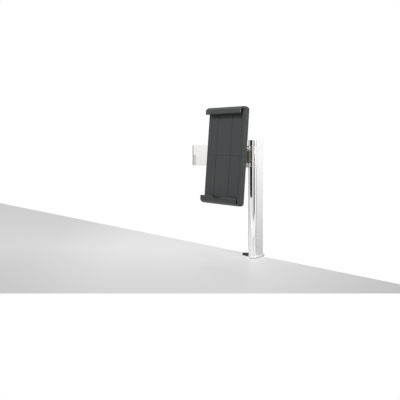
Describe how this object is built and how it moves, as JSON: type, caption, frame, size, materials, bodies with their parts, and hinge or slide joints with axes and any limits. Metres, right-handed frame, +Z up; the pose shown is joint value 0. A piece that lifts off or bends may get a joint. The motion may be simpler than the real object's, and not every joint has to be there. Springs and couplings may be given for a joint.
{
  "type": "tablet clamp mount",
  "caption": "Table-clamped column with a folding arm, a tilting and turning head and a self-centring sprung tablet holder with hooked jaws.",
  "frame": {"origin": "middle of the column's foot on the table top", "axes": "+X right along the table edge, +Y away from the user, +Z up the column"},
  "size_m": [0.2069, 0.1371, 0.4365],
  "materials": {
    "polished": "polished",
    "silver": "fine satin",
    "black_steel": "satin powder coat",
    "steel": "plain",
    "rubber": "matte",
    "black_plastic": "matte",
    "bearing": "smooth",
    "charcoal": "satin"
  },
  "bodies": {
    "base": {"column": "polished", "column_cap": "silver", "clamp_plate": "black_steel", "clamp_bracket": "black_steel", "clamp_pad": "rubber", "foot_trim": "silver", "column_screws": "steel", "clamp_bush": "steel"},
    "clamp_press": {"pressure_plate": "steel", "pressure_pad": "rubber"},
    "clamp_screw": {"clamp_spindle": "black_steel", "clamp_knob": "black_plastic"},
    "arm_rear": {"arm_link_rear": "silver", "elbow_bolt": "steel", "elbow_nut": "steel", "elbow_cap_bottom": "silver"},
    "lock_press": {"lock_tip": "rubber"},
    "lock_knob": {"lock_screw": "steel", "lock_knob": "black_plastic"},
    "arm_front": {"arm_link_front": "silver", "elbow_bushes": "bearing", "elbow_cap_top": "silver", "swivel_pin": "steel", "swivel_caps": "silver"},
    "head_swivel": {"swivel_bracket": "black_steel", "swivel_bushes": "bearing", "tilt_bolt": "black_steel", "tilt_nut": "black_steel", "tilt_discs": "bearing"},
    "head_tilt": {"tilt_head": "black_steel", "detent_balls": "steel", "spindle_nut": "steel", "turn_washer": "bearing"},
    "holder": {"holder_carrier": "black_plastic", "axle_plug": "steel", "pinion_cover": "black_plastic", "cover_screws": "steel"},
    "pinion": {"centring_pinion": "bearing", "closing_spring": "steel"},
    "jaw_upper": {"jaw_upper_body": "charcoal", "jaw_upper_panel": "charcoal", "jaw_upper_rack": "bearing", "jaw_upper_screws": "steel", "jaw_upper_liner": "rubber"},
    "jaw_lower": {"jaw_lower_body": "charcoal", "jaw_lower_panel": "charcoal", "jaw_lower_rack": "bearing", "jaw_lower_screws": "steel", "jaw_lower_liner": "rubber"}
  },
  "joints": [
    {"name": "arm_height", "type": "slide", "parent": "base", "child": "arm_rear", "axis": [0, 0, 1], "range_m": [-0.1, 0.01]},
    {"name": "lock_travel", "type": "slide", "parent": "arm_rear", "child": "lock_press", "axis": [1, 0, 0], "range_m": [-0.003, 0]},
    {"name": "lock_turn", "type": "hinge", "parent": "lock_press", "child": "lock_knob", "pos_m": [-0.02, 0.0008, 0.2235], "axis": [1, 0, 0], "range_deg": [-1080.5, 0.5]},
    {"name": "elbow", "type": "hinge", "parent": "arm_rear", "child": "arm_front", "pos_m": [-0.1612, -0.01875, 0.2235], "axis": [0, 0, -1], "range_deg": [0, 180]},
    {"name": "head_swivel", "type": "hinge", "parent": "arm_front", "child": "head_swivel", "pos_m": [-0.013, -0.02935, 0.2235], "axis": [0, 0, 1], "range_deg": [-20, 90]},
    {"name": "head_tilt", "type": "hinge", "parent": "head_swivel", "child": "head_tilt", "pos_m": [-0.013, -0.04835, 0.2235], "axis": [-1, 0, 0], "range_deg": [-20, 35]},
    {"name": "holder_turn", "type": "hinge", "parent": "head_tilt", "child": "holder", "pos_m": [-0.013, -0.09354, 0.22788], "axis": [0, -0.9953, 0.0964], "continuous": true},
    {"name": "jaw_upper_slide", "type": "slide", "parent": "holder", "child": "jaw_upper", "axis": [0, 0.0964, 0.9953], "range_m": [0, 0.055], "stiffness_N_per_m": 250, "springref_m": -0.03},
    {"name": "jaw_lower_slide", "type": "slide", "parent": "holder", "child": "jaw_lower", "axis": [0, -0.0964, -0.9953], "range_m": [0, 0.055]},
    {"name": "pinion_turn", "type": "hinge", "parent": "holder", "child": "pinion", "pos_m": [-0.013, -0.09354, 0.22788], "axis": [0, -0.9953, 0.0964], "range_deg": [0, 451]},
    {"name": "clamp_travel", "type": "slide", "parent": "base", "child": "clamp_press", "axis": [0, 0, 1], "range_m": [-0.032, 0.012]},
    {"name": "clamp_turn", "type": "hinge", "parent": "clamp_press", "child": "clamp_screw", "pos_m": [0, 0, -0.06], "axis": [0, 0, 1], "range_deg": [-9216.5, 3456.5]}
  ],
  "couplings": [
    {"joint": "jaw_lower_slide", "follows": "jaw_upper_slide", "ratio": 1},
    {"joint": "pinion_turn", "follows": "jaw_upper_slide", "rad_per_m": 142.86},
    {"joint": "clamp_turn", "follows": "clamp_travel", "rad_per_m": 5026.5},
    {"joint": "lock_turn", "follows": "lock_travel", "rad_per_m": 6283.2}
  ]
}
